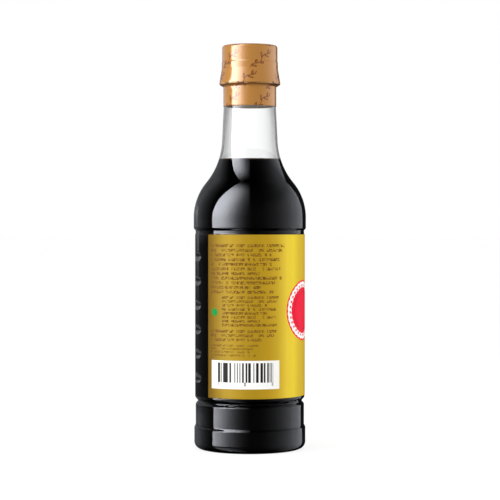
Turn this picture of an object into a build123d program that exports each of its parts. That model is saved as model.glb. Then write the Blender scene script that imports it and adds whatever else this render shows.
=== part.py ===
from build123d import *
import os
from math import atan2, cos, degrees, radians, sin

# A half-litre soy sauce bottle, in millimetres and degrees. The origin is the middle of the flat ring
# that the bottle stands on, +Z is up, and -Y is the side where the back of the label is read.

# ---------------------------------------------------------------- driving dimensions

# Bottle: one blown shell of clear plastic, thin in the body and thick in the neck.
body_radius = 32.95        # widest, outside, at the shoulder
body_wall = 0.5
neck_wall = 1.3
base_wall = 0.9

# Depths of the body's zones, measured in from body_radius.
foot_recess = 0.3
band_recess = 1.1
waist_recess = 2.65
panel_recess = 0.8
groove_recess = 1.1

# Heights of the zones, stacked from the ground up.
foot_height = 12.8         # plain band that stands on the ground
step_rise = 1.3            # step in to the middle band
band_height = 12.3
waist_lower_rise = 1.8     # slope in to the pinched waist
waist_upper_rise = 2.2     # slope out again to the label panel
panel_height = 95.4
groove_ramp = 0.3
groove_height = 1.9        # narrow channel between label panel and shoulder
lip_rise = 1.3
shoulder_straight = 6.3
shoulder_height = 44.6     # dome and hollow sweep, up to the foot of the neck
neck_height = 20.4
collar_height = 12.3       # straight top of the neck, under the capsule
finish_height = 20.8       # mouth, inside the closure

# Base: a flat ring round a shallow push-up.
ring_width = 3.45
push_up_height = 4.0
foot_corner = 4.2

# Rounding of the outline's corners.
step_round = 0.8
band_round = 0.9
waist_round = 0.5
panel_round = 1.6
groove_round = 0.3
lip_round = 0.9

# Neck: it tapers from its foot to the collar, and the finish steps in from the collar by a ledge.
hollow_radius = 41.2       # the sweep between neck and dome
collar_radius = 15.3
neck_taper = 1.0           # how much wider the foot of the neck is than the collar
ledge_width = 1.6
finish_wall = 1.6

# Grips: a row of short notches on each side of the bare strip between the label's two ends.
grip_count = 6
grip_pitch = 14.2
grip_depth = 0.5
grip_section_radius = 8.0
grip_half_angle = 14.0     # half of the arc that a grip runs round
grip_offset = 29.0         # from the middle of the bare strip round to the middle of a grip
grip_drop = 0.6            # the row sits this far below the middle of the panel
bare_strip_direction = 166.0
bare_strip_angle = 112.6

# Sauce: it stands in the sweep below the neck.
fill_drop = 10.5           # surface below the foot of the neck

# Closure: a flip-top cap, its lid slightly narrower than the base, which flares to a skirt.
closure_clearance = 0.5    # from the ledge up to the skirt, and round the finish
closure_wall = 2.05
closure_top = 2.4
skirt_flare = 1.45
lid_recess = 0.25
lid_height = 9.8
lid_step = 0.6
skirt_height = 8.6
skirt_edge = 0.7
closure_round = 1.4

# Capsule: gold film, shrunk over the closure and the collar.
film = 0.2
gather_height = 1.4        # how far the film takes to close from the skirt to the collar

# Label: it wraps the panel, all but the bare strip.
label_thickness = 0.2
label_top_margin = 0.1
label_bottom_margin = 1.4

# ---------------------------------------------------------------- worked-out places

foot_radius = body_radius - foot_recess
band_radius = body_radius - band_recess
waist_radius = body_radius - waist_recess
panel_radius = body_radius - panel_recess
groove_radius = body_radius - groove_recess
push_up_radius = foot_radius - foot_corner - ring_width
neck_foot_radius = collar_radius + neck_taper
finish_radius = collar_radius - ledge_width
bore_radius = finish_radius - finish_wall
closure_bore = finish_radius + closure_clearance
closure_radius = closure_bore + closure_wall
lid_radius = closure_radius - lid_recess
skirt_radius = closure_radius + skirt_flare

band_bottom = foot_height + step_rise
band_top = band_bottom + band_height
waist_level = band_top + waist_lower_rise
panel_bottom = waist_level + waist_upper_rise
panel_top = panel_bottom + panel_height
groove_bottom = panel_top + groove_ramp
groove_top = groove_bottom + groove_height
lip_level = groove_top + lip_rise
dome_level = lip_level + shoulder_straight
neck_foot_level = dome_level + shoulder_height
collar_level = neck_foot_level + neck_height
ledge_level = collar_level + collar_height
mouth_level = ledge_level + finish_height
fill_level = neck_foot_level - fill_drop

skirt_bottom = ledge_level + closure_clearance
closure_level = mouth_level + closure_top
lid_bottom = closure_level - lid_height

neck_lean = atan2(neck_taper, neck_height)
inward = Vector(-cos(neck_lean), -sin(neck_lean))


# ---------------------------------------------------------------- outlines, as radius and height


def draw_body(side_wall, floor, top_wall):
    """Draw half of the body's outline, from the middle of the base up to the collar's foot,
    moved in by the wall of the sides, of the floor and of the neck."""
    base = TangentArc((0, push_up_height + floor), (push_up_radius, floor), tangent=(1, 0))
    side = FilletPolyline(
        base @ 1,
        (foot_radius - side_wall, floor),
        (foot_radius - side_wall, foot_height),
        (band_radius - side_wall, band_bottom),
        (band_radius - side_wall, band_top),
        (waist_radius - side_wall, waist_level),
        (panel_radius - side_wall, panel_bottom),
        (panel_radius - side_wall, panel_top),
        (groove_radius - side_wall, groove_bottom),
        (groove_radius - side_wall, groove_top),
        (body_radius - side_wall, lip_level),
        (body_radius - side_wall, dome_level),
        radius=[foot_corner, step_round, step_round, band_round, waist_round]
        + [panel_round, groove_round, groove_round, groove_round, lip_round],
    )

    # The hollow sweep is tangent to the neck, and the dome is tangent to the sweep and the side.
    neck_foot = Vector(neck_foot_radius, neck_foot_level) + inward * top_wall
    hollow = hollow_radius + top_wall
    hollow_centre = neck_foot - inward * hollow
    across = hollow_centre.X - (body_radius - side_wall)
    up = hollow_centre.Y - dome_level
    dome = (across**2 + up**2 - hollow**2) / (2 * (hollow - across))
    dome_centre = Vector(body_radius - side_wall - dome, dome_level)
    meeting = dome_centre + (hollow_centre - dome_centre) * (dome / (dome + hollow))

    shoulder = TangentArc(side @ 1, meeting, tangent=(0, 1))
    sweep_up = TangentArc(shoulder @ 1, neck_foot, tangent=shoulder % 1)
    return Line(sweep_up @ 1, (collar_radius - top_wall, collar_level))


def draw_closure(grow):
    """Draw the closure's outline from the bottom of its skirt to the middle of its top,
    moved out by the thickness of what covers it."""
    return FilletPolyline(
        (skirt_radius + grow, skirt_bottom),
        (skirt_radius + grow, skirt_bottom + skirt_edge),
        (closure_radius + grow, skirt_bottom + skirt_edge + skirt_height),
        (closure_radius + grow, lid_bottom),
        (lid_radius + grow, lid_bottom + lid_step),
        (lid_radius + grow, closure_level + grow),
        (0, closure_level + grow),
        radius=[skirt_edge / 2, closure_round, lid_step / 4, lid_step / 4, closure_round + grow],
    )


def draw_capsule(grow):
    """Draw the outline of the covered closure and collar, down to the capsule's lower edge."""
    over_closure = draw_closure(grow)
    gather = Line(over_closure @ 0, (collar_radius + grow, skirt_bottom - gather_height))
    Line(gather @ 1, (collar_radius + grow, collar_level))
    return over_closure @ 1


# ---------------------------------------------------------------- bottle and what it holds

# A grip is cut by a ring that is centred beyond the bottle's axis, on the far side from the grip, so the
# notch is deepest in its middle and runs out to a point at each end.
grip_floor_radius = panel_radius - grip_depth
ring_shift = grip_depth * (panel_radius + grip_floor_radius) / 2
ring_shift /= grip_floor_radius - panel_radius * cos(radians(grip_half_angle))
grip_directions = [bare_strip_direction - grip_offset, bare_strip_direction + grip_offset]
grip_middle = (panel_bottom + panel_top) / 2 - grip_drop
grip_levels = [grip_middle + (i - (grip_count - 1) / 2) * grip_pitch for i in range(grip_count)]


def cut_grips(wall):
    """Cut the grips out of the part being built, whose side lies this far inside the bottle's."""
    for direction in grip_directions:
        outward = Vector(cos(radians(direction)), sin(radians(direction)))
        ring_plane = Plane(origin=outward * -ring_shift, x_dir=outward, z_dir=outward.cross(Vector(0, 0, 1)))
        with BuildSketch(ring_plane) as grip_sections:
            with Locations(*[(grip_floor_radius + ring_shift + grip_section_radius, z) for z in grip_levels]):
                Circle(grip_section_radius + wall)
        ring_axis = Axis(origin=ring_plane.origin, direction=(0, 0, 1))
        revolve(grip_sections.sketch, axis=ring_axis, mode=Mode.SUBTRACT)


# The space inside the shell. It is not a piece: the bottle is hollowed by it, and the sauce fills it.
bore_level = ledge_level - 2 * finish_wall
with BuildPart() as inside:
    with BuildSketch(Plane.XZ):
        with BuildLine():
            neck = draw_body(body_wall, base_wall, neck_wall)
            Polyline(
                neck @ 1,
                (collar_radius - neck_wall, bore_level - finish_wall),
                (bore_radius, bore_level),
                (bore_radius, mouth_level),
                (0, mouth_level),
                (0, push_up_height + base_wall),
            )
        make_face()
    revolve(axis=Axis.Z)
    cut_grips(body_wall)

# Bottle: the blown shell, with the plain finish that the closure covers.
with BuildPart() as bottle:
    with BuildSketch(Plane.XZ):
        with BuildLine():
            neck = draw_body(0, 0, 0)
            Polyline(
                neck @ 1,
                (collar_radius, ledge_level),
                (finish_radius, ledge_level),
                (finish_radius, mouth_level),
                (0, mouth_level),
                (0, push_up_height),
            )
        make_face()
    revolve(axis=Axis.Z)
    cut_grips(0)
    add(inside.part, mode=Mode.SUBTRACT)
bottle.part.label = "bottle"

# Sauce: it fills the shell up to its level surface.
with BuildPart() as sauce:
    add(inside.part)
    split(bisect_by=Plane.XY.offset(fill_level), keep=Keep.BOTTOM)
sauce.part.label = "sauce"

# ---------------------------------------------------------------- closure and capsule

# Closure: it rests on the rim of the mouth, and its skirt stops short of the collar.
with BuildPart() as closure:
    with BuildSketch(Plane.XZ):
        with BuildLine():
            outside = draw_closure(0)
            Polyline(
                outside @ 1,
                (0, mouth_level),
                (closure_bore, mouth_level),
                (closure_bore, skirt_bottom),
                outside @ 0,
            )
        make_face()
    revolve(axis=Axis.Z)
closure.part.label = "closure"

# Capsule: the film follows the closure, closes in under the skirt and grips the collar.
with BuildPart() as capsule:
    for thickness, mode in ((film, Mode.ADD), (0, Mode.SUBTRACT)):
        with BuildSketch(Plane.XZ) as half:
            with BuildLine():
                top_middle = draw_capsule(thickness)
                Polyline(top_middle, (0, collar_level), (collar_radius + thickness, collar_level))
            make_face()
        revolve(half.sketch, axis=Axis.Z, mode=mode)
capsule.part.label = "capsule"

# ---------------------------------------------------------------- label

# Label: thin printed film, wrapped round the panel from one side of the bare strip to the other.
label_bottom = panel_bottom + label_bottom_margin
label_height = panel_top - label_top_margin - label_bottom
label_start = bare_strip_direction + bare_strip_angle / 2
with BuildPart() as label:
    with BuildSketch(Plane.XZ.rotated((0, 0, label_start))):
        with Locations((panel_radius + label_thickness / 2, label_bottom + label_height / 2)):
            Rectangle(label_thickness, label_height)
    revolve(axis=Axis.Z, revolution_arc=360 - bare_strip_angle)
label.part.label = "label"

# ---------------------------------------------------------------- files

os.makedirs("parts", exist_ok=True)
for piece in (bottle, sauce, closure, capsule, label):
    export_step(piece.part, f"parts/{piece.part.label}.step")

print(f"height {closure_level + film:.1f}, widest {2 * body_radius:.1f}")
print(f"neck leans {degrees(neck_lean):.2f} degrees, sauce {sauce.part.volume / 1000:.0f} ml")
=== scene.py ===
import math
import random
import bpy
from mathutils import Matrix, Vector


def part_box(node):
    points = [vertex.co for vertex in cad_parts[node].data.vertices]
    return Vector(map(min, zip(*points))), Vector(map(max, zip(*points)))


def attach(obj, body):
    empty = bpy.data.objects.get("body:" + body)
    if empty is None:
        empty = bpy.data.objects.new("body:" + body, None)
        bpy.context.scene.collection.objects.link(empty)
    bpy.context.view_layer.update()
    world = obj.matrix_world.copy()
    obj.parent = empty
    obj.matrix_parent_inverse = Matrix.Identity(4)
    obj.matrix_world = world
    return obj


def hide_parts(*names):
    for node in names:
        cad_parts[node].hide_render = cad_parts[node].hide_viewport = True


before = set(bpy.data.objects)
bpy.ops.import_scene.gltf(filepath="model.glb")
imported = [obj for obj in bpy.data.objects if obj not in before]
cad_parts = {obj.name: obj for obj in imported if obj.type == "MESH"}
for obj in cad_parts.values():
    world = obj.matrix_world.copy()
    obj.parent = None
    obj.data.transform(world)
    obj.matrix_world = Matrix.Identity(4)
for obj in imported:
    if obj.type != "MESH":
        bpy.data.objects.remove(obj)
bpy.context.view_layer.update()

# ---- Bottle: a blown shell of clear plastic, thin in the body and thick in the neck. Its outline is a
# foot, a middle band, a pinched waist, a recessed label panel and a domed shoulder that sweeps up into
# the neck. A row of short notches beside each end of the label gives the fingers a grip.
MM = 0.001
BODY_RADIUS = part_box("bottle")[1].x
LABEL_LOW, LABEL_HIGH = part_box("label")
COLLAR_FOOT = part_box("capsule")[0].z
MOUTH_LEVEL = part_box("bottle")[1].z

FOOT_RADIUS = BODY_RADIUS - 0.3 * MM
BAND_RADIUS = BODY_RADIUS - 1.1 * MM
WAIST_RADIUS = BODY_RADIUS - 2.65 * MM
PANEL_RADIUS = BODY_RADIUS - 0.8 * MM
COLLAR_RADIUS = 15.3 * MM
NECK_FOOT_RADIUS = 16.3 * MM
FINISH_RADIUS = 13.7 * MM
HOLLOW_RADIUS = 41.2 * MM
BODY_WALL, BASE_WALL, NECK_WALL, FINISH_WALL = 0.5 * MM, 0.9 * MM, 1.3 * MM, 1.6 * MM
PUSH_UP_HEIGHT, FOOT_CORNER, RING_WIDTH = 4.0 * MM, 4.2 * MM, 3.45 * MM
FOOT_TOP, BAND_BOTTOM, BAND_TOP, WAIST_LEVEL = 12.8 * MM, 14.1 * MM, 26.4 * MM, 28.2 * MM
PANEL_BOTTOM = LABEL_LOW.z - 1.4 * MM
PANEL_TOP = LABEL_HIGH.z + 0.1 * MM
GROOVE_BOTTOM, GROOVE_TOP = PANEL_TOP + 0.3 * MM, PANEL_TOP + 2.2 * MM
LIP_LEVEL = PANEL_TOP + 3.5 * MM
DOME_LEVEL = PANEL_TOP + 9.8 * MM
NECK_HEIGHT = 20.4 * MM
NECK_FOOT_LEVEL = COLLAR_FOOT - NECK_HEIGHT
LEDGE_LEVEL = COLLAR_FOOT + 12.3 * MM

GRIP_COUNT = 6
GRIP_PITCH = 14.2 * MM
GRIP_DEPTH = 0.5 * MM
GRIP_SECTION = 8.0 * MM
GRIP_HALF_ANGLE = math.radians(14)
GRIP_OFFSET = math.radians(29)
GRIP_MIDDLE = (PANEL_BOTTOM + PANEL_TOP) / 2 - 0.6 * MM
BARE_STRIP = math.radians(166)


def rounded(points, radii, step=math.radians(9)):
    """The outline through these corners, each rounded to its radius by a few short chords."""
    outline = [Vector(points[0])]
    for before, corner, after, radius in zip(points, points[1:], points[2:], radii):
        before, corner, after = Vector(before), Vector(corner), Vector(after)
        back, ahead = (before - corner).normalized(), (after - corner).normalized()
        turn = math.pi - back.angle(ahead)
        reach = radius * math.tan(turn / 2)
        centre = corner + (back + ahead).normalized() * math.hypot(radius, reach)
        start, end = corner + back * reach - centre, corner + ahead * reach - centre
        count = max(2, math.ceil(turn / step))
        for i in range(count + 1):
            share = i / count
            angle = turn * share
            mix = start * math.sin(turn - angle) + end * math.sin(angle)
            outline.append(centre + mix / math.sin(turn))
    outline.append(Vector(points[-1]))
    return outline


def arc(centre, radius, start, end, count):
    """Points on an arc, from one angle to another."""
    angles = [start + (end - start) * i / count for i in range(count + 1)]
    return [Vector((centre[0] + radius * math.cos(a), centre[1] + radius * math.sin(a))) for a in angles]


def held(outline, margin=0.25 * MM):
    """The outline with a point near each end of its straights, so that they shade as flat as they are."""
    rows = []
    for low, high in zip(outline, outline[1:]):
        rows.append(low)
        length = (high - low).length
        if length > 3 * margin:
            rows += [low.lerp(high, margin / length), high.lerp(low, margin / length)]
    return rows + [outline[-1]]


def body_outline(wall, floor, top_wall):
    """Half of the body's outline, from the middle of the base to the collar, moved in by its walls."""
    ring = FOOT_RADIUS - FOOT_CORNER - RING_WIDTH
    base_curve = (ring**2 + PUSH_UP_HEIGHT**2) / (2 * PUSH_UP_HEIGHT)
    base_centre = floor + PUSH_UP_HEIGHT - base_curve
    steps = 14
    base = [
        Vector((r, base_centre + math.sqrt(base_curve**2 - r**2)))
        for r in (ring * i / steps for i in range(steps + 1))
    ]
    side = rounded(
        [
            (ring, floor),
            (FOOT_RADIUS - wall, floor),
            (FOOT_RADIUS - wall, FOOT_TOP),
            (BAND_RADIUS - wall, BAND_BOTTOM),
            (BAND_RADIUS - wall, BAND_TOP),
            (WAIST_RADIUS - wall, WAIST_LEVEL),
            (PANEL_RADIUS - wall, PANEL_BOTTOM),
            (PANEL_RADIUS - wall, PANEL_TOP),
            (BAND_RADIUS - wall, GROOVE_BOTTOM),
            (BAND_RADIUS - wall, GROOVE_TOP),
            (BODY_RADIUS - wall, LIP_LEVEL),
            (BODY_RADIUS - wall, DOME_LEVEL),
        ],
        [r * MM for r in (4.2, 0.8, 0.8, 0.9, 0.5, 1.6, 0.3, 0.3, 0.3, 0.9)],
    )
    lean = math.atan2(NECK_FOOT_RADIUS - COLLAR_RADIUS, NECK_HEIGHT)
    inward = Vector((-math.cos(lean), -math.sin(lean)))
    hollow = HOLLOW_RADIUS + top_wall
    hollow_centre = Vector((NECK_FOOT_RADIUS, NECK_FOOT_LEVEL)) + inward * (top_wall - hollow)
    across = hollow_centre.x - (BODY_RADIUS - wall)
    up = hollow_centre.y - DOME_LEVEL
    dome = (across**2 + up**2 - hollow**2) / (2 * (hollow - across))
    dome_centre = Vector((BODY_RADIUS - wall - dome, DOME_LEVEL))
    tilt = math.atan2(hollow_centre.y - dome_centre.y, hollow_centre.x - dome_centre.x)
    shoulder = arc(dome_centre, dome, 0, tilt, 26)
    sweep = arc(hollow_centre, hollow, math.pi + tilt, math.pi + lean, 26)
    collar = Vector((COLLAR_RADIUS - top_wall, COLLAR_FOOT))
    return base[:-1] + held(side)[:-1] + shoulder[:-1] + sweep + [collar]


def grip_cut(angle, z):
    """How deep the grips go in at a place on the panel: a ring-shaped cut, centred off the axis."""
    away = abs(math.atan2(math.sin(angle - BARE_STRIP), math.cos(angle - BARE_STRIP))) - GRIP_OFFSET
    index = round((z - GRIP_MIDDLE) / GRIP_PITCH + (GRIP_COUNT - 1) / 2)
    off = z - GRIP_MIDDLE - (index - (GRIP_COUNT - 1) / 2) * GRIP_PITCH
    if abs(away) > GRIP_HALF_ANGLE or not 0 <= index < GRIP_COUNT or abs(off) > GRIP_SECTION:
        return 0.0
    floor = PANEL_RADIUS - GRIP_DEPTH
    shift = GRIP_DEPTH * (PANEL_RADIUS + floor) / 2
    shift /= floor - PANEL_RADIUS * math.cos(GRIP_HALF_ANGLE)
    ring = floor + shift
    ring_floor = -shift * math.cos(away) + math.sqrt(ring**2 - (shift * math.sin(away)) ** 2)
    return max(0.0, PANEL_RADIUS - (ring_floor + GRIP_SECTION - math.sqrt(GRIP_SECTION**2 - off**2)))


def with_grip_rows(outline):
    """The outline with extra points across each grip, so that the grooves come out smooth."""
    row_gap, rows_each_way = 0.34 * MM, 9
    rows = []
    for low, high in zip(outline, outline[1:]):
        rows.append(low)
        if low.y < GRIP_MIDDLE < high.y:
            for i in range(GRIP_COUNT):
                middle = GRIP_MIDDLE + (i - (GRIP_COUNT - 1) / 2) * GRIP_PITCH
                rows += [
                    Vector((low.x, middle + k * row_gap))
                    for k in range(-rows_each_way, rows_each_way + 1)
                ]
    return rows + [outline[-1]]


def columns():
    """The angles of the shell's columns, closer together across the two rows of grips."""
    fine = GRIP_HALF_ANGLE + math.radians(2)
    stretches = [(GRIP_OFFSET - fine, 6), (GRIP_OFFSET + fine, 40), (math.pi, 44)]
    half, start = [], 0.0
    for end, count in stretches:
        half += [start + (end - start) * i / count for i in range(count)]
        start = end
    other_half = [2 * math.pi - a for a in [math.pi, *half[:0:-1]]]
    return [BARE_STRIP + a for a in half + other_half]


def spin(name, outline, angles, cut):
    """A smooth mesh of an outline turned about the bottle's axis. Ends on the axis become one point."""
    verts, faces, rings = [], [], []
    for point in outline:
        if point.x == 0:
            rings.append([len(verts)])
            verts.append((0.0, 0.0, point.y))
            continue
        rings.append(list(range(len(verts), len(verts) + len(angles))))
        for a in angles:
            r = point.x - cut(a, point.y)
            verts.append((r * math.cos(a), r * math.sin(a), point.y))
    count = len(angles)
    for low, high in zip(rings, rings[1:]):
        for i in range(count):
            j = (i + 1) % count
            if len(low) == 1:
                faces.append((low[0], high[j], high[i]))
            elif len(high) == 1:
                faces.append((low[i], low[j], high[0]))
            else:
                faces.append((low[i], low[j], high[j], high[i]))
    mesh = bpy.data.meshes.new(name)
    mesh.from_pydata(verts, [], faces)
    mesh.shade_smooth()
    piece = bpy.data.objects.new(name, mesh)
    bpy.context.scene.collection.objects.link(piece)
    return piece


def panel_cut(angle, z):
    """The grips, which lie only within the label panel."""
    return grip_cut(angle, z) if PANEL_BOTTOM < z < PANEL_TOP else 0.0


def node_material(name):
    """A new material with its Principled shader."""
    material = bpy.data.materials.new(name)
    material.use_nodes = True
    return material, material.node_tree, material.node_tree.nodes["Principled BSDF"]


def noise(tree, scale, detail=2.0, vector=None):
    """A noise texture on the object's own coordinates."""
    texture = tree.nodes.new("ShaderNodeTexNoise")
    texture.inputs["Scale"].default_value = scale
    texture.inputs["Detail"].default_value = detail
    if vector is None:
        vector = tree.nodes.new("ShaderNodeTexCoord").outputs["Object"]
    tree.links.new(vector, texture.inputs["Vector"])
    return texture.outputs["Fac"]


def bump(tree, shader, height, strength, distance):
    """A bump from a height, in metres of relief."""
    relief = tree.nodes.new("ShaderNodeBump")
    relief.inputs["Strength"].default_value = strength
    relief.inputs["Distance"].default_value = distance
    tree.links.new(height, relief.inputs["Height"])
    tree.links.new(relief.outputs["Normal"], shader.inputs["Normal"])


outer = with_grip_rows(body_outline(0, 0, 0))
outer += [
    Vector((COLLAR_RADIUS, LEDGE_LEVEL)),
    Vector((FINISH_RADIUS, LEDGE_LEVEL)),
    Vector((FINISH_RADIUS, MOUTH_LEVEL)),
]
inner = with_grip_rows(body_outline(BODY_WALL, BASE_WALL, NECK_WALL))
inner += [
    Vector((COLLAR_RADIUS - NECK_WALL, LEDGE_LEVEL - 3 * FINISH_WALL)),
    Vector((FINISH_RADIUS - FINISH_WALL, LEDGE_LEVEL - 2 * FINISH_WALL)),
    Vector((FINISH_RADIUS - FINISH_WALL, MOUTH_LEVEL)),
]
shell = spin("bottle_shell", outer + inner[::-1], columns(), panel_cut)
plastic, tree, shader = node_material("clear_blown_plastic")
shader.inputs["Base Color"].default_value = (0.995, 0.998, 0.998, 1)
shader.inputs["Transmission Weight"].default_value = 1.0
shader.inputs["IOR"].default_value = 1.575
shader.inputs["Roughness"].default_value = 0.02
bump(tree, shader, noise(tree, 55.0, 1.0), 0.05, 0.0006)
shell.data.materials.append(plastic)
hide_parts("bottle")
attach(shell, "root")

# ---- Sauce: dark soy sauce, filling the shell to the foot of the neck. It reaches a little into the
# wall, so no air shows between them, and it climbs the wall in a thin brown meniscus.
INTO_WALL = 0.15 * MM
FILL_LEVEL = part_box("sauce")[1].z
CLIMB, CLIMB_WIDE = 0.9 * MM, 3.2 * MM
SWEEP_SLOPE = 0.45


def vary(tree, value, low, high, socket):
    """Drive a socket between two values."""
    span = tree.nodes.new("ShaderNodeMapRange")
    span.inputs["From Min"].default_value = 0.3
    span.inputs["From Max"].default_value = 0.7
    span.inputs["To Min"].default_value = low
    span.inputs["To Max"].default_value = high
    tree.links.new(value, span.inputs["Value"])
    tree.links.new(span.outputs["Result"], socket)


walls = body_outline(BODY_WALL - INTO_WALL, BASE_WALL - INTO_WALL, NECK_WALL - INTO_WALL)
below = [p for p in with_grip_rows(walls) if p.y < FILL_LEVEL]
edge_radius = below[-1].x - (FILL_LEVEL - below[-1].y) * SWEEP_SLOPE
surface = [Vector((edge_radius, FILL_LEVEL))]
surface += [
    Vector((edge_radius - CLIMB_WIDE * t, FILL_LEVEL - CLIMB * (1 - (1 - t) ** 3)))
    for t in (0.05, 0.1, 0.18, 0.3, 0.45, 0.65, 1.0)
]
surface.append(Vector((0, FILL_LEVEL - CLIMB)))
liquid = spin("soy_sauce", below + surface, columns(), panel_cut)
soy, tree, shader = node_material("dark_soy_sauce")
height = tree.nodes.new("ShaderNodeSeparateXYZ")
tree.links.new(tree.nodes.new("ShaderNodeTexCoord").outputs["Object"], height.inputs[0])
thin = tree.nodes.new("ShaderNodeMapRange")
thin.inputs["From Min"].default_value = FILL_LEVEL - 1.3 * MM
thin.inputs["From Max"].default_value = FILL_LEVEL - 0.2 * MM
tree.links.new(height.outputs["Z"], thin.inputs["Value"])
depth = tree.nodes.new("ShaderNodeMix")
depth.data_type = "RGBA"
depth.inputs[6].default_value = (0.0022, 0.0016, 0.0014, 1)
depth.inputs[7].default_value = (0.085, 0.035, 0.016, 1)
tree.links.new(thin.outputs["Result"], depth.inputs[0])
tree.links.new(depth.outputs[2], shader.inputs["Base Color"])
shader.inputs["IOR"].default_value = 1.38
shader.inputs["Specular IOR Level"].default_value = 0.0
vary(tree, noise(tree, 30.0), 0.05, 0.12, shader.inputs["Roughness"])
liquid.data.materials.append(soy)
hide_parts("sauce")
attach(liquid, "root")

# ---- Closure: the moulded flip-top under the film. Only its form shows, so its own solid stays and
# gets the finish of satin tinted plastic.
moulded, tree, shader = node_material("tinted_closure_plastic")
shader.inputs["Base Color"].default_value = (0.45, 0.26, 0.1, 1)
vary(tree, noise(tree, 400.0), 0.4, 0.55, shader.inputs["Roughness"])
bump(tree, shader, noise(tree, 900.0), 0.2, 0.0001)
for slot in bpy.data.objects["closure"].material_slots:
    slot.material = moulded

# ---- Capsule: gold metallised film, shrunk over the closure and the neck's collar. It follows the
# lid's edge and the flared skirt, gathers in small creases under the skirt and ends in a cut edge.
TOP_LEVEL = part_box("capsule")[1].z
FILM = 0.2 * MM
SKIRT_BOTTOM = LEDGE_LEVEL + 0.5 * MM
LID_RADIUS, BASE_RADIUS, SKIRT_RADIUS = 16.0 * MM, 16.25 * MM, 17.7 * MM
LID_BOTTOM = TOP_LEVEL - FILM - 9.8 * MM


def capsule_outline(grow):
    """From the lower edge of the film up to the middle of the top."""
    return rounded(
        [
            (COLLAR_RADIUS + grow, COLLAR_FOOT),
            (COLLAR_RADIUS + grow, SKIRT_BOTTOM - 1.4 * MM),
            (SKIRT_RADIUS + grow - 0.15 * MM, SKIRT_BOTTOM + 0.02 * MM),
            (SKIRT_RADIUS + grow, SKIRT_BOTTOM + 0.7 * MM),
            (BASE_RADIUS + grow, SKIRT_BOTTOM + 9.3 * MM),
            (BASE_RADIUS + grow, LID_BOTTOM),
            (LID_RADIUS + grow, LID_BOTTOM + 0.6 * MM),
            (LID_RADIUS + grow, TOP_LEVEL - FILM + grow),
            (0, TOP_LEVEL - FILM + grow),
        ],
        [r * MM for r in (0.4, 0.1, 0.3, 1.4, 0.15, 0.15, 1.4)],
    )


crease_draw = random.Random(7)
CREASES, CREASE_WIDE, CREASE_DEEP = 34, (0.04, 0.1), (0.05, 0.22)
creases = [
    (
        crease_draw.uniform(0, 2 * math.pi),
        crease_draw.uniform(*CREASE_WIDE),
        crease_draw.uniform(*CREASE_DEEP) * MM,
    )
    for _ in range(CREASES)
]


def gather(angle, z):
    """The film's small creases, under the skirt and just below it."""
    off = (z - (SKIRT_BOTTOM - 0.5 * MM)) / (1.5 * MM)
    if abs(off) > 2:
        return 0.0
    cut = 0.0
    for middle, width, deep in creases:
        away = math.atan2(math.sin(angle - middle), math.cos(angle - middle)) / width
        if abs(away) < 3:
            cut += deep * math.exp(-away * away - off * off)
    return cut


def dense(outline, step=0.45 * MM):
    """The outline with long straight stretches divided, so that the creases have points."""
    rows = []
    for low, high in zip(outline, outline[1:]):
        count = max(1, round((high - low).length / step)) if high.x > 0 else 1
        rows += [low.lerp(high, i / count) for i in range(count)]
    return rows + [outline[-1]]


def calc(operation, *values):
    """One step of arithmetic on sockets or numbers."""
    node = tree.nodes.new("ShaderNodeMath")
    node.operation = operation
    for socket, value in zip(node.inputs, values):
        if isinstance(value, (int, float)):
            socket.default_value = value
        else:
            tree.links.new(value, socket)
    return node.outputs[0]


def within(value, low, high):
    """1 where a value lies between two limits."""
    return calc("COMPARE", value, (low + high) / 2, (high - low) / 2)


def both(first, second):
    """1 where both masks are 1."""
    return calc("MULTIPLY", first, second)


def either(first, second):
    """1 where either mask is 1."""
    return calc("MAXIMUM", first, second)


def paint(under, colour, mask):
    """Lay an ink over what is below it, where the mask is 1."""
    layer = tree.nodes.new("ShaderNodeMix")
    layer.data_type = "RGBA"
    tree.links.new(mask, layer.inputs[0])
    if isinstance(under, tuple):
        layer.inputs[6].default_value = under
    else:
        tree.links.new(under, layer.inputs[6])
    layer.inputs[7].default_value = colour
    return layer.outputs[2]


def profile(value, low, high, stops):
    """Brightness along a value, from (value, brightness) stops between two limits."""
    curve = tree.nodes.new("ShaderNodeFloatCurve")
    points = curve.mapping.curves[0].points
    peak = max(bright for _, bright in stops)
    for index, (at, bright) in enumerate([(low, stops[0][1]), *stops, (high, stops[-1][1])]):
        spot = ((at - low) / (high - low), bright / peak)
        if index < 2:
            points[index].location = spot
        else:
            points.new(*spot)
    for point in points:
        point.handle_type = "VECTOR"
    curve.mapping.update()
    tree.links.new(calc("DIVIDE", calc("SUBTRACT", value, low), high - low), curve.inputs["Value"])
    return calc("MULTIPLY", curve.outputs["Value"], peak)


around = [2 * math.pi * i / 240 for i in range(240)]
film_outline = [Vector((COLLAR_RADIUS, COLLAR_FOOT))] + dense(capsule_outline(FILM))
capsule = spin("gold_capsule", film_outline, around, gather)
gold, tree, shader = node_material("gold_capsule_film")
spot = tree.nodes.new("ShaderNodeSeparateXYZ")
tree.links.new(tree.nodes.new("ShaderNodeTexCoord").outputs["Object"], spot.inputs[0])
level = calc("DIVIDE", calc("SUBTRACT", spot.outputs["Z"], COLLAR_FOOT), MM)
turned = calc("DIVIDE", calc("ARCTAN2", spot.outputs["Y"], spot.outputs["X"]), 2 * math.pi)

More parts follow.
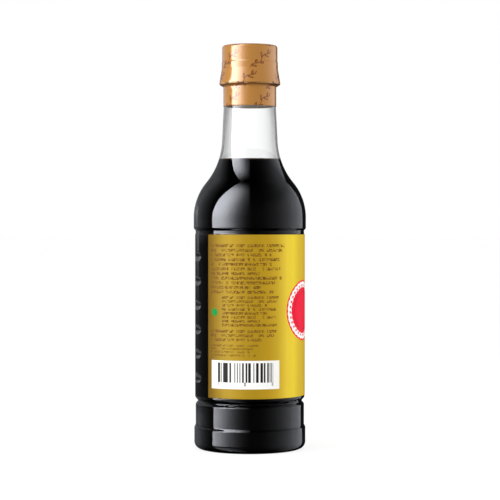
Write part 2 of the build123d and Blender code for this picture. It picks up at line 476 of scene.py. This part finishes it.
# The print is a grid of sprigs, every other row moved by half a sprig. Each is a wavy stem with leaves
# to its left and right in turn, drawn as outlines. Sizes here are in millimetres.
SPRIG_TALL, SPRIG_WIDE, SPRIGS_AROUND = 12.4, 20.7, 5
SPRIG_LEAN = math.radians(38)
STEM_HALF, STEM_REACH, STEM_WAVE = 0.26, 8.6, 0.9
LEAF_PITCH, LEAF_REACH, LEAF_OUT = 2.5, 7.5, 1.35
raised = calc("ADD", level, 4.0)
row = calc("FLOOR", calc("DIVIDE", raised, SPRIG_TALL))
up = calc("SUBTRACT", raised, calc("MULTIPLY", calc("ADD", row, 0.5), SPRIG_TALL))
half_steps = calc("ADD", calc("MULTIPLY", row, 0.5), 6.4)
column = calc("ADD", calc("MULTIPLY", turned, SPRIGS_AROUND), half_steps)
across = calc("MULTIPLY", calc("SUBTRACT", calc("FRACT", column), 0.5), SPRIG_WIDE)


def leaning(first, second, operation):
    """Two directions of the sprig's own grid, which leans to the right."""
    upright = calc("MULTIPLY", first, math.cos(SPRIG_LEAN))
    return calc(operation, upright, calc("MULTIPLY", second, math.sin(SPRIG_LEAN)))


along = leaning(across, up, "ADD")
aside = leaning(up, across, "SUBTRACT")
aside = calc("SUBTRACT", aside, calc("MULTIPLY", calc("SINE", calc("MULTIPLY", along, 0.7)), STEM_WAVE))
stem = both(within(aside, -STEM_HALF, STEM_HALF), within(along, -STEM_REACH, STEM_REACH))
pair = calc("FLOOR", calc("DIVIDE", along, LEAF_PITCH))
hand = calc("SUBTRACT", 1.0, calc("MULTIPLY", calc("FRACT", calc("DIVIDE", pair, 2.0)), 4.0))
leaf_along = calc("SUBTRACT", calc("FRACT", calc("DIVIDE", along, LEAF_PITCH)), 0.5)
leaf_middle = calc("ADD", LEAF_OUT, calc("MULTIPLY", leaf_along, 1.6))
leaf_aside = calc("SUBTRACT", calc("MULTIPLY", aside, hand), leaf_middle)
leaf_length = calc("POWER", calc("MULTIPLY", leaf_along, 2.3), 2.0)
leaf_width = calc("POWER", calc("MULTIPLY", leaf_aside, 1.25), 2.0)
leaf = calc("ADD", leaf_length, leaf_width)
leaves = both(within(leaf, 0.12, 1.0), within(along, -LEAF_REACH, LEAF_REACH))
lid_top = (TOP_LEVEL - COLLAR_FOOT) / MM
sprigs = both(either(stem, leaves), calc("LESS_THAN", level, lid_top - 0.5))

colour = paint((0.47, 0.215, 0.05, 1), (0.43, 0.195, 0.045, 1), noise(tree, 60.0, 3.0))
colour = paint(colour, (0.13, 0.022, 0.012, 1), calc("MULTIPLY", sprigs, 0.85))
skirt_foot = (SKIRT_BOTTOM - COLLAR_FOOT) / MM
# Painted shadow: a dark band on the film just under the skirt's edge and a little above it, where the
# flared skirt shades the film below.
from_fold = calc("SUBTRACT", level, skirt_foot)
painted_skirt_shadow = profile(from_fold, -50, 50, [(-1.3, 0.0), (-0.5, 0.8), (0.15, 0.85), (0.6, 0.0)])
colour = paint(colour, (0.06, 0.02, 0.01, 1), painted_skirt_shadow)
tree.links.new(colour, shader.inputs["Base Color"])
shader.inputs["Metallic"].default_value = 0.14
shader.inputs["Specular IOR Level"].default_value = 0.2
shader.inputs["Coat Weight"].default_value = 1.0
shader.inputs["Coat IOR"].default_value = 1.55
shader.inputs["Coat Roughness"].default_value = 0.07
vary(tree, noise(tree, 60.0, 3.0), 0.28, 0.36, shader.inputs["Roughness"])
bump(tree, shader, noise(tree, 220.0, 3.0), 0.12, 0.0002)
capsule.data.materials.append(gold)
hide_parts("capsule")
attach(capsule, "root")

# ---- Label: printed metallised film, glued round the panel. One end of it shows, with rows of small
# print, a white bar-code panel and, round the side, the left part of a red seal.
LABEL_RADIUS = LABEL_HIGH.x
GLUE_GAP = 0.02 * MM
BARE_HALF_ANGLE = math.radians(56.3)
LABEL_START = BARE_STRIP + BARE_HALF_ANGLE
LABEL_TURN = 2 * math.pi - 2 * BARE_HALF_ANGLE
LABEL_WIDE = LABEL_RADIUS * LABEL_TURN / MM
LABEL_TALL = (LABEL_HIGH.z - LABEL_LOW.z) / MM

printed, tree, shader = node_material("gold_printed_label")

# The sheet is a thin box, bent round the panel. Its print is laid out on the flat before it is bent.
wrap = bpy.data.node_groups.new("wrap_round_panel", "GeometryNodeTree")
sizes = {
    "Radius": LABEL_RADIUS,
    "Thickness": LABEL_RADIUS - PANEL_RADIUS - GLUE_GAP,
    "Foot": LABEL_LOW.z,
    "Height": LABEL_HIGH.z - LABEL_LOW.z,
    "Start": LABEL_START,
    "Turn": LABEL_TURN,
    "Columns": 301,
    "Rows": 61,
    "Material": printed,
}
kinds = {"Columns": "NodeSocketInt", "Rows": "NodeSocketInt", "Material": "NodeSocketMaterial"}
wrap_inputs = {
    name: wrap.interface.new_socket(name, in_out="INPUT", socket_type=kinds.get(name, "NodeSocketFloat"))
    for name in sizes
}
wrap.interface.new_socket("Sheet", in_out="OUTPUT", socket_type="NodeSocketGeometry")
given = wrap.nodes.new("NodeGroupInput").outputs


def calc_in(group, operation, *values):
    """One step of arithmetic in a Geometry Nodes tree, on sockets or numbers."""
    node = group.nodes.new("ShaderNodeMath")
    node.operation = operation
    for socket, value in zip(node.inputs, values):
        if isinstance(value, (int, float)):
            socket.default_value = value
        else:
            group.links.new(value, socket)
    return node.outputs[0]


flat = wrap.nodes.new("GeometryNodeMeshCube")
flat.inputs["Size"].default_value = (1, 1, 1)
flat.inputs["Vertices Y"].default_value = 2
wrap.links.new(given["Columns"], flat.inputs["Vertices X"])
wrap.links.new(given["Rows"], flat.inputs["Vertices Z"])
share = wrap.nodes.new("ShaderNodeSeparateXYZ")
wrap.links.new(wrap.nodes.new("GeometryNodeInputPosition").outputs[0], share.inputs[0])
along_share, deep_share, up_share = (calc_in(wrap, "ADD", share.outputs[axis], 0.5) for axis in "XYZ")

spread = wrap.nodes.new("ShaderNodeCombineXYZ")
wrap.links.new(along_share, spread.inputs[0])
wrap.links.new(up_share, spread.inputs[1])
laid_out = wrap.nodes.new("GeometryNodeStoreNamedAttribute")
laid_out.data_type = "FLOAT2"
laid_out.domain = "CORNER"
laid_out.inputs["Name"].default_value = "print"
wrap.links.new(flat.outputs["Mesh"], laid_out.inputs["Geometry"])
wrap.links.new(spread.outputs[0], laid_out.inputs["Value"])

turned_to = calc_in(wrap, "MULTIPLY_ADD", along_share, given["Turn"], given["Start"])
inward = calc_in(wrap, "MULTIPLY", deep_share, given["Thickness"])
reach = calc_in(wrap, "SUBTRACT", given["Radius"], inward)
height = calc_in(wrap, "MULTIPLY_ADD", up_share, given["Height"], given["Foot"])
bent_place = wrap.nodes.new("ShaderNodeCombineXYZ")
wrap.links.new(calc_in(wrap, "MULTIPLY", reach, calc_in(wrap, "COSINE", turned_to)), bent_place.inputs[0])
wrap.links.new(calc_in(wrap, "MULTIPLY", reach, calc_in(wrap, "SINE", turned_to)), bent_place.inputs[1])
wrap.links.new(height, bent_place.inputs[2])
bent = wrap.nodes.new("GeometryNodeSetPosition")
wrap.links.new(laid_out.outputs[0], bent.inputs["Geometry"])
wrap.links.new(bent_place.outputs[0], bent.inputs["Position"])
realized = wrap.nodes.new("GeometryNodeRealizeInstances")
wrap.links.new(bent.outputs[0], realized.inputs[0])
inked = wrap.nodes.new("GeometryNodeSetMaterial")
wrap.links.new(realized.outputs[0], inked.inputs["Geometry"])
wrap.links.new(given["Material"], inked.inputs["Material"])
wrap.links.new(inked.outputs[0], wrap.nodes.new("NodeGroupOutput").inputs[0])


def grown(name, group, inputs, values):
    """A plain mesh piece made by a Geometry Nodes tree, whose modifier doesn't stay."""
    piece = bpy.data.objects.new(name, bpy.data.meshes.new(name))
    bpy.context.scene.collection.objects.link(piece)
    modifier = piece.modifiers.new(name, "NODES")
    modifier.node_group = group
    for size_name, value in values.items():
        modifier[inputs[size_name].identifier] = value
    made = bpy.data.meshes.new_from_object(piece.evaluated_get(bpy.context.evaluated_depsgraph_get()))
    piece.modifiers.clear()
    piece.data = made
    made.shade_smooth()
    made.set_sharp_from_angle(angle=math.radians(40))
    return piece


label = grown("wrap_label", wrap, wrap_inputs, sizes)

place = tree.nodes.new("ShaderNodeUVMap")
place.uv_map = "print"
across_up = tree.nodes.new("ShaderNodeSeparateXYZ")
tree.links.new(place.outputs["UV"], across_up.inputs[0])
u = calc("MULTIPLY", across_up.outputs["X"], LABEL_WIDE)
v = calc("MULTIPLY", across_up.outputs["Y"], LABEL_TALL)


def box(left, right, low, high):
    """1 inside a rectangle of the label, in millimetres from its left edge and its foot."""
    return both(within(u, left, right), within(v, low, high))


def coin(across, along):
    """A random number for each cell of a grid."""
    cell = tree.nodes.new("ShaderNodeCombineXYZ")
    tree.links.new(across, cell.inputs[0])
    if isinstance(along, (int, float)):
        cell.inputs[1].default_value = along
    else:
        tree.links.new(along, cell.inputs[1])
    draw = tree.nodes.new("ShaderNodeTexWhiteNoise")
    draw.noise_dimensions = "2D"
    tree.links.new(cell.outputs[0], draw.inputs["Vector"])
    return draw.outputs["Value"]


def print_rows(left, right, top, rows, pitch, tall, stroke=0.42):
    """Rows of small strokes that stand for lines of small print: no letters, only short bars."""
    down = calc("DIVIDE", calc("SUBTRACT", top, v), pitch)
    row = calc("FLOOR", down)
    in_row = within(calc("FRACT", down), 0.5 - tall / pitch / 2, 0.5 + tall / pitch / 2)
    half = calc("FLOOR", calc("MULTIPLY", calc("FRACT", down), 3.0 * pitch / tall))
    draw = coin(calc("FLOOR", calc("DIVIDE", u, stroke)), calc("ADD", half, calc("MULTIPLY", row, 7.0)))
    strokes = calc("GREATER_THAN", draw, 0.42)
    word_draw = coin(calc("FLOOR", calc("DIVIDE", u, 1.6)), calc("ADD", row, 31.0))
    words = calc("GREATER_THAN", word_draw, 0.13)
    row_end = calc("SUBTRACT", right, calc("MULTIPLY", coin(row, 5.0), (right - left) * 0.35))
    short = calc("LESS_THAN", u, row_end)
    area = both(within(u, left, right), within(v, top - rows * pitch, top))
    return both(both(both(area, in_row), both(strokes, words)), short)


ink = print_rows(2.2, 48.6, 88.9, 11, 2.65, 1.75)
ink = either(ink, print_rows(10.2, 44.6, 59.1, 8, 2.25, 1.5))
ink = either(ink, print_rows(2.2, 43.0, 39.9, 3, 2.45, 1.6))
fine = print_rows(2.5, 32.2, 31.4, 4, 1.85, 1.1, 0.3)
tab = box(2.9, 44.7, 5.6, 21.9)
bar = calc("GREATER_THAN", coin(calc("FLOOR", calc("DIVIDE", u, 0.5)), 3.0), 0.47)
bars = both(bar, box(7.2, 40.7, 9.4, 20.6))
guard = either(either(within(u, 7.2, 8.1), within(u, 23.6, 24.6)), within(u, 39.8, 40.7))
guard = both(guard, calc("GREATER_THAN", calc("FRACT", calc("DIVIDE", u, 0.6)), 0.45))
bars = either(bars, both(guard, within(v, 7.4, 9.5)))


def from_point(across, along):
    """The distance across and up from a point of the label, and straight to it."""
    aside, above = calc("SUBTRACT", u, across), calc("SUBTRACT", v, along)
    return aside, above, calc("SQRT", calc("ADD", both(aside, aside), both(above, above)))


SEAL_ACROSS, SEAL_UP, SEAL_RADIUS = LABEL_WIDE / 2 - 2.3, 49.9, 17.6
from_middle, from_height, away = from_point(SEAL_ACROSS, SEAL_UP)
turn = calc("ARCTAN2", from_height, from_middle)
scallop = calc("MULTIPLY", calc("ABSOLUTE", calc("SINE", calc("MULTIPLY", turn, 15.0))), 0.5)
seal = calc("LESS_THAN", away, SEAL_RADIUS)
white_ring = within(calc("SUBTRACT", away, scallop), 13.2, 16.3)
beads = calc("GREATER_THAN", calc("SINE", calc("MULTIPLY", turn, 30.0)), 0.2)
beads = both(beads, within(away, 14.0, 15.2))
inner_line = within(away, 10.6, 11.1)
green = calc("LESS_THAN", from_point(5.1, 49.4)[2], 2.2)

RED = (0.78, 0.002, 0.03, 1)
WHITE = (0.86, 0.86, 0.84, 1)
BROWN = (0.13, 0.05, 0.008, 1)
near_edge = calc("DIVIDE", calc("MINIMUM", u, calc("SUBTRACT", LABEL_WIDE, u)), LABEL_WIDE / 2)

# Painted sheen: the gold's brightness from either end of the label (0) to its middle (1), light and dark
# bands that stand in for the soft boxes' reflections in the metallised print.
PAINTED_SHEEN = (
    (0.0, (0.12, 0.065, 0.003)),
    (0.045, (0.17, 0.087, 0.003)),
    (0.1, (0.245, 0.15, 0.009)),
    (0.17, (0.37, 0.24, 0.025)),
    (0.22, (0.415, 0.268, 0.025)),
    (0.3, (0.4, 0.248, 0.018)),
    (0.36, (0.37, 0.225, 0.012)),
    (0.44, (0.37, 0.225, 0.008)),
    (0.53, (0.43, 0.257, 0.01)),
    (0.62, (0.54, 0.35, 0.02)),
    (0.72, (0.76, 0.55, 0.042)),
    (0.8, (0.77, 0.58, 0.028)),
    (0.88, (0.62, 0.43, 0.011)),
    (1.0, (0.6, 0.39, 0.008)),
)
painted_sheen = tree.nodes.new("ShaderNodeValToRGB")
stops = painted_sheen.color_ramp.elements
for at, tint in PAINTED_SHEEN:
    stop = stops.new(at) if 0 < at < 1 else stops[0 if at == 0 else -1]
    stop.color = (*tint, 1)
tree.links.new(near_edge, painted_sheen.inputs[0])
colour = paint(painted_sheen.outputs[0], (0.5, 0.32, 0.02, 1), calc("MULTIPLY", noise(tree, 300.0, 3.0), 0.12))
colour = paint(colour, BROWN, calc("MULTIPLY", ink, 0.9))
colour = paint(colour, BROWN, calc("MULTIPLY", fine, 0.75))
colour = paint(colour, (0.008, 0.23, 0.04, 1), green)
colour = paint(colour, WHITE, tab)
colour = paint(colour, (0.02, 0.018, 0.015, 1), bars)
colour = paint(colour, RED, seal)
colour = paint(colour, WHITE, white_ring)
colour = paint(colour, RED, beads)
colour = paint(colour, (0.55, 0.0, 0.02, 1), inner_line)
tree.links.new(colour, shader.inputs["Base Color"])
plain = calc("SUBTRACT", 1.0, either(either(tab, seal), either(ink, green)))
tree.links.new(calc("MULTIPLY", plain, 0.03), shader.inputs["Metallic"])
shader.inputs["Specular IOR Level"].default_value = 0.12
vary(tree, noise(tree, 90.0, 3.0), 0.4, 0.48, shader.inputs["Roughness"])
bump(tree, shader, noise(tree, 500.0, 3.0), 0.08, 0.0001)
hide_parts("label")
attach(label, "root")

# ---- Studio: a pale floor that keeps the bottle's shadow, and a world that is white behind the bottle
# and, for what shines, a dark room with a tall soft box on the left and a weaker one on the right.
bpy.ops.mesh.primitive_plane_add(size=40, location=(0, 0, 0))
floor = bpy.context.object
floor.name = "studio_floor"
floor.visible_glossy = False
pale, tree, shader = node_material("pale_floor")
shader.inputs["Base Color"].default_value = (0.9, 0.9, 0.9, 1)
shader.inputs["Roughness"].default_value = 0.9
shader.inputs["Specular IOR Level"].default_value = 0.0
glow = tree.nodes.new("ShaderNodeEmission")
glow.inputs["Strength"].default_value = 1.12
seen = tree.nodes.new("ShaderNodeMixShader")
path = tree.nodes.new("ShaderNodeLightPath")
tree.links.new(calc("MULTIPLY", path.outputs["Is Camera Ray"], 0.72), seen.inputs[0])
tree.links.new(shader.outputs[0], seen.inputs[1])
tree.links.new(glow.outputs[0], seen.inputs[2])
place = tree.nodes.new("ShaderNodeTexCoord").outputs["Object"]
length = tree.nodes.new("ShaderNodeVectorMath")
length.operation = "LENGTH"
tree.links.new(place, length.inputs[0])
# Painted shadow: seen through the glass, the floor within the bottle's footprint is a near-black sheet that
# stands in for the shade under the bottle; elsewhere it lets the world through.
under = calc("LESS_THAN", length.outputs["Value"], BODY_RADIUS + 1 * MM)
dark = tree.nodes.new("ShaderNodeBsdfDiffuse")
dark.inputs["Color"].default_value = (0.01, 0.01, 0.01, 1)
clear = tree.nodes.new("ShaderNodeBsdfTransparent")
beyond = tree.nodes.new("ShaderNodeMixShader")
tree.links.new(under, beyond.inputs[0])
tree.links.new(clear.outputs[0], beyond.inputs[1])
tree.links.new(dark.outputs[0], beyond.inputs[2])
through_glass = tree.nodes.new("ShaderNodeMixShader")
tree.links.new(path.outputs["Is Transmission Ray"], through_glass.inputs[0])
tree.links.new(seen.outputs[0], through_glass.inputs[1])
tree.links.new(beyond.outputs[0], through_glass.inputs[2])
tree.links.new(through_glass.outputs[0], tree.nodes["Material Output"].inputs["Surface"])
floor.data.materials.append(pale)

world = bpy.data.worlds.new("studio")
bpy.context.scene.world = world
world.use_nodes = True
tree = world.node_tree
direction = tree.nodes.new("ShaderNodeSeparateXYZ")
tree.links.new(tree.nodes.new("ShaderNodeTexCoord").outputs["Generated"], direction.inputs[0])
rise = calc("DEGREES", calc("ARCSINE", direction.outputs["Z"]))
toward_camera = calc("MULTIPLY", direction.outputs["Y"], -1.0)
side = calc("DEGREES", calc("ARCTAN2", direction.outputs["X"], toward_camera))
# The left box leans a little: its edge lies further round, the higher it is.
tip = calc("MULTIPLY", calc("POWER", calc("MAXIMUM", calc("DIVIDE", rise, 70.0), 0.0), 1.5), 23.0)
side_leaned = calc("SUBTRACT", side, calc("MULTIPLY", tip, calc("LESS_THAN", side, 0.0)))

left_across = profile(
    side_leaned, -180, 180,
    [
        (-84, 0.0), (-82, 10.6), (-72, 10.4), (-63, 9.8), (-54, 8.2), (-48, 6.7), (-42, 4.9), (-36, 3.3),
        (-30, 2.0), (-24, 1.1), (-18, 0.6), (-11, 0.25), (-4, 0.08), (4, 0.0),
    ],
)
left_up = profile(
    rise, -90, 90,
    [
        (-88, 0.0), (-70, 0.1), (-30, 0.1), (-9.8, 0.0), (-9.0, 0.45), (-6, 0.52), (-2, 0.75), (3, 0.95),
        (12, 1.05), (30, 1.03), (40, 0.92), (48, 0.78), (56, 0.55), (63, 0.25), (70, 0.05), (76, 0.0),
    ],
)
right_across = profile(
    side, -180, 180,
    [
        (0, 0.03), (22, 0.04), (35, 0.08), (54, 0.2), (69, 0.4), (85, 0.68), (100, 1.02), (112, 1.14),
        (130, 1.12), (137, 1.05), (139.5, 0.02),
    ],
)
right_up = profile(
    rise, -90, 90,
    [
        (-60, 0.0), (-30, 0.5), (-10, 1.0), (8, 1.0), (20, 0.88), (28, 0.68), (36, 0.4), (46, 0.3),
        (56, 0.17), (66, 0.08), (80, 0.0),
    ],
)
# Low down, on the band and the foot, the left box fades sooner.
left_low = profile(
    side, -180, 180,
    [
        (-84, 0.0), (-82, 5.6), (-78, 5.5), (-72, 4.6), (-65, 3.6), (-57, 2.5), (-49, 1.6), (-43, 1.1),
        (-37, 0.75), (-30, 0.45), (-24, 0.25), (-12, 0.07), (0, 0.0),
    ],
)
low_share = profile(rise, -90, 90, [(-9.8, 0.0), (-9.0, 1.0), (-7.5, 1.0), (-1.0, 0.0)])
left_box = calc("MULTIPLY", calc("MULTIPLY", left_across, left_up), calc("SUBTRACT", 1.0, low_share))
boxes = calc("ADD", left_box, calc("MULTIPLY", left_low, low_share))
# Light that comes past the bottle from behind edges its left side, faintly on the panel.
back_across = profile(
    side, -180, 180,
    [
        (-172, 0.05), (-160, 0.24), (-152, 0.2), (-145, 0.26), (-139, 0.36), (-126, 0.36), (-114, 0.24),
        (-102, 0.12), (-92, 0.03), (-86, 0.0),
    ],
)
back_up = profile(
    rise, -90, 90,
    [
        (-36, 0.0), (-20, 0.45), (-7, 0.9), (-5.9, 0.95), (-5.7, 0.11), (-0.4, 0.11), (-0.1, 0.9), (4, 1.0),
        (40, 1.0), (60, 0.0),
    ],
)
streak_across = profile(
    side, -180, 180,
    [(-168, 0.1), (-155, 0.2), (-147, 0.4), (-141.5, 1.0), (-138.5, 0.9), (-135, 0.3), (-132, 0.0)],
)
streak_up = profile(
    rise, -90, 90,
    [(-6, 0.0), (-3, 0.05), (-1.3, 0.22), (-0.5, 0.5), (0, 0.25), (3, 0.65), (6, 0.5), (9, 0.0)],
)
boxes = calc("ADD", boxes, calc("MULTIPLY", right_across, right_up))
boxes = calc("ADD", boxes, calc("MULTIPLY", back_across, back_up))
boxes = calc("ADD", boxes, calc("MULTIPLY", streak_across, streak_up))
path = tree.nodes.new("ShaderNodeLightPath")
# What is seen through the clear neck: white, with dark sides at the height of the neck in the main view.
off_back = calc("SUBTRACT", 180.0, calc("ABSOLUTE", side))
dark_sided = profile(
    off_back, 0, 180,
    [
        (0.5, 1.12), (3, 1.0), (4.5, 0.9), (7, 0.72), (10, 0.5), (14, 0.42), (22, 0.28), (60, 0.22),
        (180, 0.22),
    ],
)
high_share = profile(rise, -90, 90, [(1.8, 0.0), (2.4, 1.0)])
CLEAR = 1.12
through = calc("ADD", CLEAR, calc("MULTIPLY", high_share, calc("SUBTRACT", dark_sided, CLEAR)))
not_through = calc("SUBTRACT", 1.0, path.outputs["Is Transmission Ray"])
mirrored = calc("MULTIPLY", path.outputs["Is Glossy Ray"], not_through)
strength = calc("MULTIPLY", mirrored, boxes)
strength = calc("ADD", strength, calc("MULTIPLY", path.outputs["Is Transmission Ray"], through))
strength = calc("ADD", strength, path.outputs["Is Camera Ray"])
strength = calc("ADD", strength, calc("MULTIPLY", path.outputs["Is Diffuse Ray"], 0.75))
background = tree.nodes["Background"]
tint = paint((1, 1, 1, 1), (0.94, 0.965, 1.05, 1), mirrored)
tree.links.new(tint, background.inputs["Color"])
tree.links.new(strength, background.inputs["Strength"])

LAMP_WIDTH, LAMP_HEIGHT = 0.5, 0.8
for name, place, power in (
    ("left_soft_box", (-0.75, -0.45, 0.35), 6.0),
    ("right_soft_box", (0.8, -0.2, 0.35), 3.0),
):
    lamp = bpy.data.lights.new(name, "AREA")
    lamp.shape = "RECTANGLE"
    lamp.size, lamp.size_y = LAMP_WIDTH, LAMP_HEIGHT
    lamp.energy = power
    box_light = bpy.data.objects.new(name, lamp)
    box_light.location = place
    aim = Vector((0, 0, 0.12)) - Vector(place)
    box_light.rotation_euler = aim.to_track_quat("-Z", "Y").to_euler()
    box_light.visible_glossy = False
    box_light.visible_transmission = False
    bpy.context.scene.collection.objects.link(box_light)

camera = bpy.data.objects.new("camera", bpy.data.cameras.new("camera"))
camera.data.lens = 124.9
camera.data.sensor_width = 36
camera.location = (0.0001, -1.02, 0.131)
camera.rotation_euler = (math.radians(90 - 0.815), 0, 0)
bpy.context.scene.collection.objects.link(camera)
bpy.context.scene.camera = camera
bpy.context.scene.view_settings.view_transform = "Standard"
